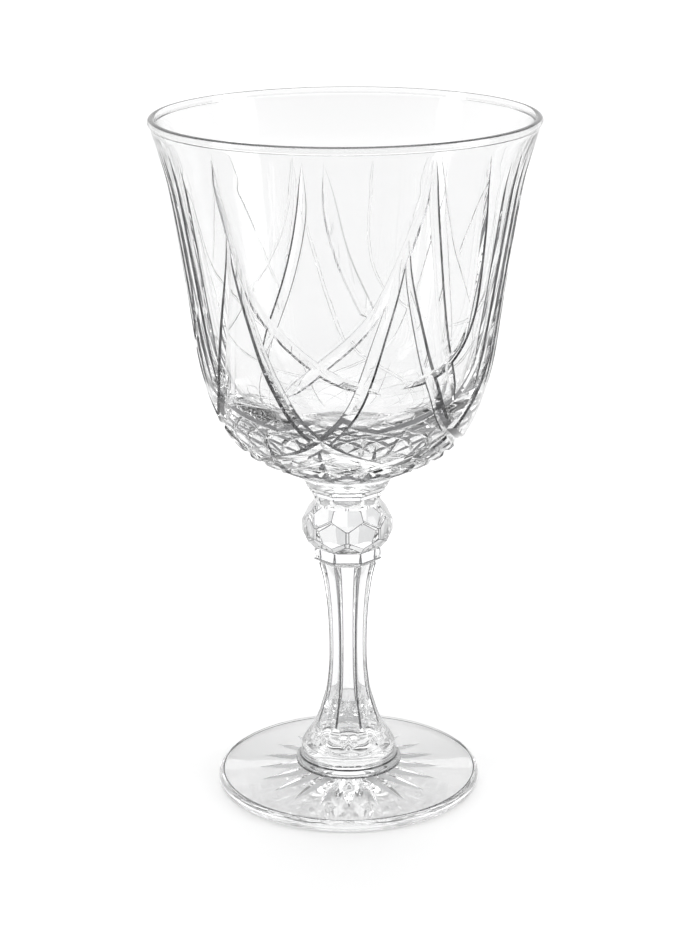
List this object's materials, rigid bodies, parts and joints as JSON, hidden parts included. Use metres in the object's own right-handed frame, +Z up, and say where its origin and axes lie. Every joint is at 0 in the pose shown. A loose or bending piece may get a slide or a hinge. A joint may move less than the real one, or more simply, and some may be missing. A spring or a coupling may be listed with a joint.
{
  "type": "wine glass",
  "caption": "Cut crystal wine glass: flared bowl with crossing wheel cuts, faceted knop and stem, round foot with a star cut underneath.",
  "frame": {"origin": "centre of the underside of the foot, on the table", "axes": "+Z up along the glass's axis, -Y towards the front"},
  "size_m": [0.093, 0.093, 0.17],
  "materials": {
    "foot_glass": "clear fire-polished crystal with a wheel-cut star on the base",
    "foot_boss_glass": "clear fire-polished crystal",
    "stem_glass": "clear crystal with cut and polished flat panels",
    "lower_merese_glass": "clear crystal, cut and polished",
    "knop_glass": "clear crystal with cut and polished facets",
    "upper_merese_glass": "clear crystal, cut and polished",
    "bowl_glass": "clear crystal with polished mitre cuts outside and a smooth fire-polished lip"
  },
  "bodies": {
    "root": {"foot": "foot_glass", "foot_boss": "foot_boss_glass", "stem": "stem_glass", "lower_merese": "lower_merese_glass", "knop": "knop_glass", "upper_merese": "upper_merese_glass", "bowl": "bowl_glass"}
  },
  "joints": []
}
